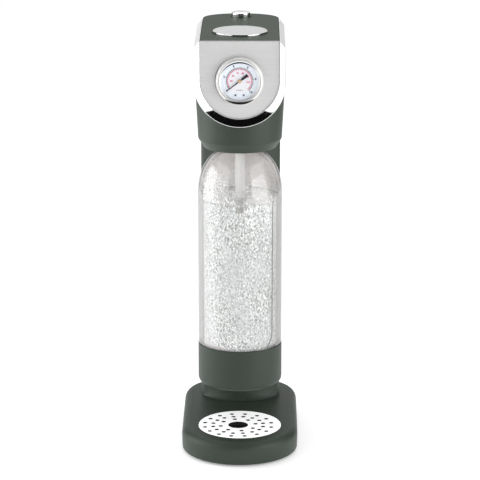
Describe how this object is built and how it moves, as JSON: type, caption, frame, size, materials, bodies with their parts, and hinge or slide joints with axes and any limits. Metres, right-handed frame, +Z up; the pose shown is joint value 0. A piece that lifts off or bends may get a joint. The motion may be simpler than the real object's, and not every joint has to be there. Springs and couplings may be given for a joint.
{
  "type": "soda carbonator",
  "caption": "Countertop soda carbonator: column with gas cylinder, overhanging head with pressure gauge and push buttons, clear tilting bottle, drip tray.",
  "frame": {"origin": "on the table, at the middle of the machine's footprint", "axes": "+Z up, -Y the front with the gauge, +X to the right seen from the front"},
  "size_m": [0.1176, 0.2118, 0.4273],
  "materials": {
    "body": "satin moulded green-grey plastic",
    "black": "matt black plastic",
    "rubber": "black rubber",
    "screws": "plain steel",
    "grid": "white satin",
    "brushed": "fine brushed silver",
    "chrome": "polished chrome",
    "brass": "turned brass",
    "cylinder": "satin grey painted aluminium",
    "bottle": "clear moulded plastic",
    "tube": "translucent plastic",
    "dial": "printed white dial",
    "lens": "clear flat lens"
  },
  "bodies": {
    "root": {"base_shell": "body", "base_plate": "black", "base_screw_1": "screws", "base_screw_2": "screws", "base_screw_3": "screws", "base_screw_4": "screws", "foot_1": "rubber", "foot_2": "rubber", "foot_3": "rubber", "foot_4": "rubber", "column_shell": "body", "chassis": "black", "cylinder_rest": "rubber", "valve_socket": "brass", "manifold": "brass", "relief_valve": "brass", "supply_pipe": "brass", "gauge_pipe": "brass", "gas_hose": "black", "swivel_fitting": "brass", "seat_bracket": "black", "head_body": "body", "chrome_band": "chrome", "front_plate": "brushed", "top_cover": "body", "button_spring": "screws", "release_spring": "screws", "lever_pin_left": "screws", "lever_pin_right": "screws", "gauge_case": "black", "gauge_bezel": "chrome", "gauge_dial": "dial", "gauge_lens": "lens", "gauge_stem": "brass", "bourdon_tube": "brass", "dial_screw_1": "screws", "dial_screw_2": "screws"},
    "carbonate": {"carbonate_button": "brushed", "button_stem": "black"},
    "lever": {"lever": "screws"},
    "actuator": {"actuator_pin": "screws"},
    "release": {"release_button": "chrome", "release_stem": "screws"},
    "tray": {"drip_tray": "black"},
    "grid": {"drip_grid": "grid"},
    "cover": {"rear_cover": "body", "cover_clip": "black"},
    "cylinder": {"co2_cylinder": "cylinder", "cylinder_valve": "brass"},
    "seat": {"bottle_seat": "black", "bottle_seal": "rubber", "dip_tube": "tube", "nozzle_tip": "tube", "seat_pin_left": "screws", "seat_pin_right": "screws"},
    "bottle": {"bottle": "bottle", "bottle_cup": "body"},
    "pointer": {"gauge_pointer": "black", "gauge_hub": "brass", "gauge_spindle": "brass"}
  },
  "joints": [
    {"name": "carbonate_press", "type": "slide", "parent": "root", "child": "carbonate", "axis": [0, 0, -1], "range_m": [0, 0.006], "stiffness_N_per_m": 800, "springref_m": -0.002, "deforming": ["button_spring"]},
    {"name": "lever_turn", "type": "hinge", "parent": "root", "child": "lever", "pos_m": [0, 0.09, 0.405], "axis": [1, 0, 0], "range_deg": [0, 3.6]},
    {"name": "actuator_push", "type": "slide", "parent": "root", "child": "actuator", "axis": [0, 0, -1], "range_m": [0, 0.0014]},
    {"name": "release_press", "type": "slide", "parent": "root", "child": "release", "axis": [0, 0, -1], "range_m": [0, 0.003], "stiffness_N_per_m": 600, "springref_m": -0.002, "deforming": ["release_spring"]},
    {"name": "bottle_tilt", "type": "hinge", "parent": "root", "child": "seat", "pos_m": [0, -0.02, 0.345], "axis": [-1, 0, 0], "range_deg": [0, 9]},
    {"name": "bottle_release", "type": "slide", "parent": "seat", "child": "bottle", "axis": [0, 0, -1], "range_m": [0, 0.017]},
    {"name": "tray_lift", "type": "slide", "parent": "root", "child": "tray", "axis": [0, 0, 1], "range_m": [0, 0.011]},
    {"name": "grid_lift", "type": "slide", "parent": "tray", "child": "grid", "axis": [0, 0, 1], "range_m": [0, 0.005]},
    {"name": "cover_slide", "type": "slide", "parent": "root", "child": "cover", "axis": [0, 1, 0], "range_m": [0, 0.06]},
    {"name": "cylinder_turn", "type": "hinge", "parent": "root", "child": "cylinder", "pos_m": [0, 0.069, 0.37], "axis": [0, 0, -1], "range_deg": [0, 360]},
    {"name": "gauge_sweep", "type": "hinge", "parent": "root", "child": "pointer", "pos_m": [0, -0.064, 0.3834], "axis": [0, 1, 0], "range_deg": [0, 264], "stiffness_Nm_per_rad": 0.0005, "springref_deg": -22.92}
  ],
  "couplings": [
    {"joint": "lever_turn", "follows": "carbonate_press", "rad_per_m": 10.04},
    {"joint": "actuator_push", "follows": "carbonate_press", "ratio": 0.2108}
  ]
}
